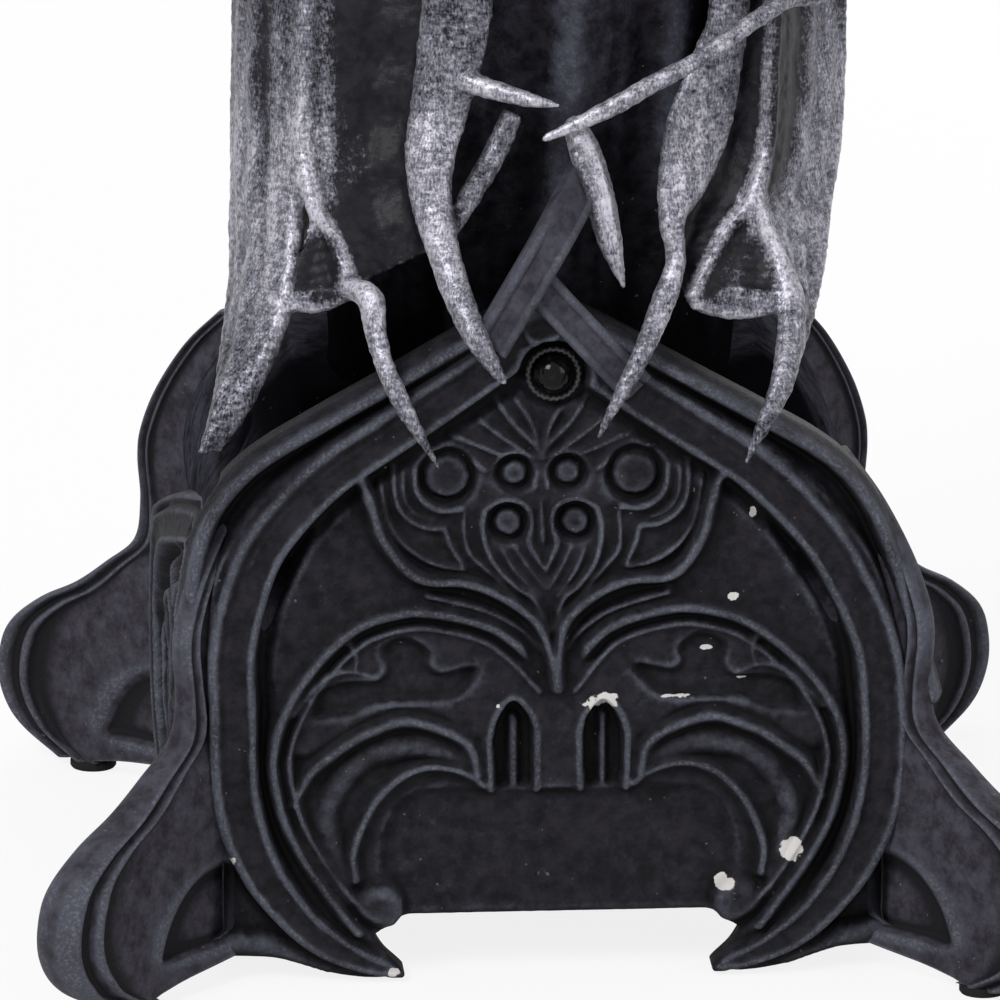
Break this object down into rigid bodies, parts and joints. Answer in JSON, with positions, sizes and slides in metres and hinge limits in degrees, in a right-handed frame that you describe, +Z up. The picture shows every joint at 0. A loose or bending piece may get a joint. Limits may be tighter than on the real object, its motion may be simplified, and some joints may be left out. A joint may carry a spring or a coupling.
{
  "type": "tea light holder",
  "caption": "Gothic tea light holder: tracery pedestal on flared feet, column wrapped in folded wings, and a bowl with a lift-out cup for a tea light.",
  "frame": {"origin": "on the floor under the middle of the pedestal", "axes": "+Z up, the gabled front with the stone faces -Y, +X to the viewer's right"},
  "size_m": [0.1108, 0.1108, 0.1586],
  "materials": {
    "black_resin": "satin black cast resin with blue-grey dry-brushed edges",
    "silvered_resin": "black resin dry-brushed with silver paint",
    "black_stone": "polished black",
    "felt": "black felt",
    "steel": "plain drawn steel",
    "aluminium": "pressed foil",
    "wax": "white paraffin wax",
    "cotton": "waxed cotton"
  },
  "bodies": {
    "holder": {"pedestal_block": "black_resin", "draped_column": "black_resin", "bowl": "black_resin", "front_arch_panel": "black_resin", "right_arch_panel": "black_resin", "back_arch_panel": "black_resin", "left_arch_panel": "black_resin", "front_left_foot": "black_resin", "front_right_foot": "black_resin", "back_right_foot": "black_resin", "back_left_foot": "black_resin", "front_left_pad": "felt", "front_right_pad": "felt", "back_right_pad": "felt", "back_left_pad": "felt", "left_wing": "silvered_resin", "right_wing": "silvered_resin", "hanging_blade": "silvered_resin", "gem_bezel": "black_resin", "gem_cabochon": "black_stone", "pedestal_pin": "steel", "bowl_pin": "steel", "left_wing_front_pin": "steel", "left_wing_back_pin": "steel", "right_wing_front_pin": "steel", "right_wing_back_pin": "steel"},
    "cup": {"cup_liner": "steel"},
    "tea_light": {"tealight_case": "aluminium", "wick_sustainer": "steel", "tealight_wax": "wax", "tealight_wick": "cotton"}
  },
  "joints": [
    {"name": "cup_lift", "type": "slide", "parent": "holder", "child": "cup", "axis": [0, 0, 1], "range_m": [0, 0.04]},
    {"name": "tealight_lift", "type": "slide", "parent": "cup", "child": "tea_light", "axis": [0, 0, 1], "range_m": [0, 0.03]}
  ]
}
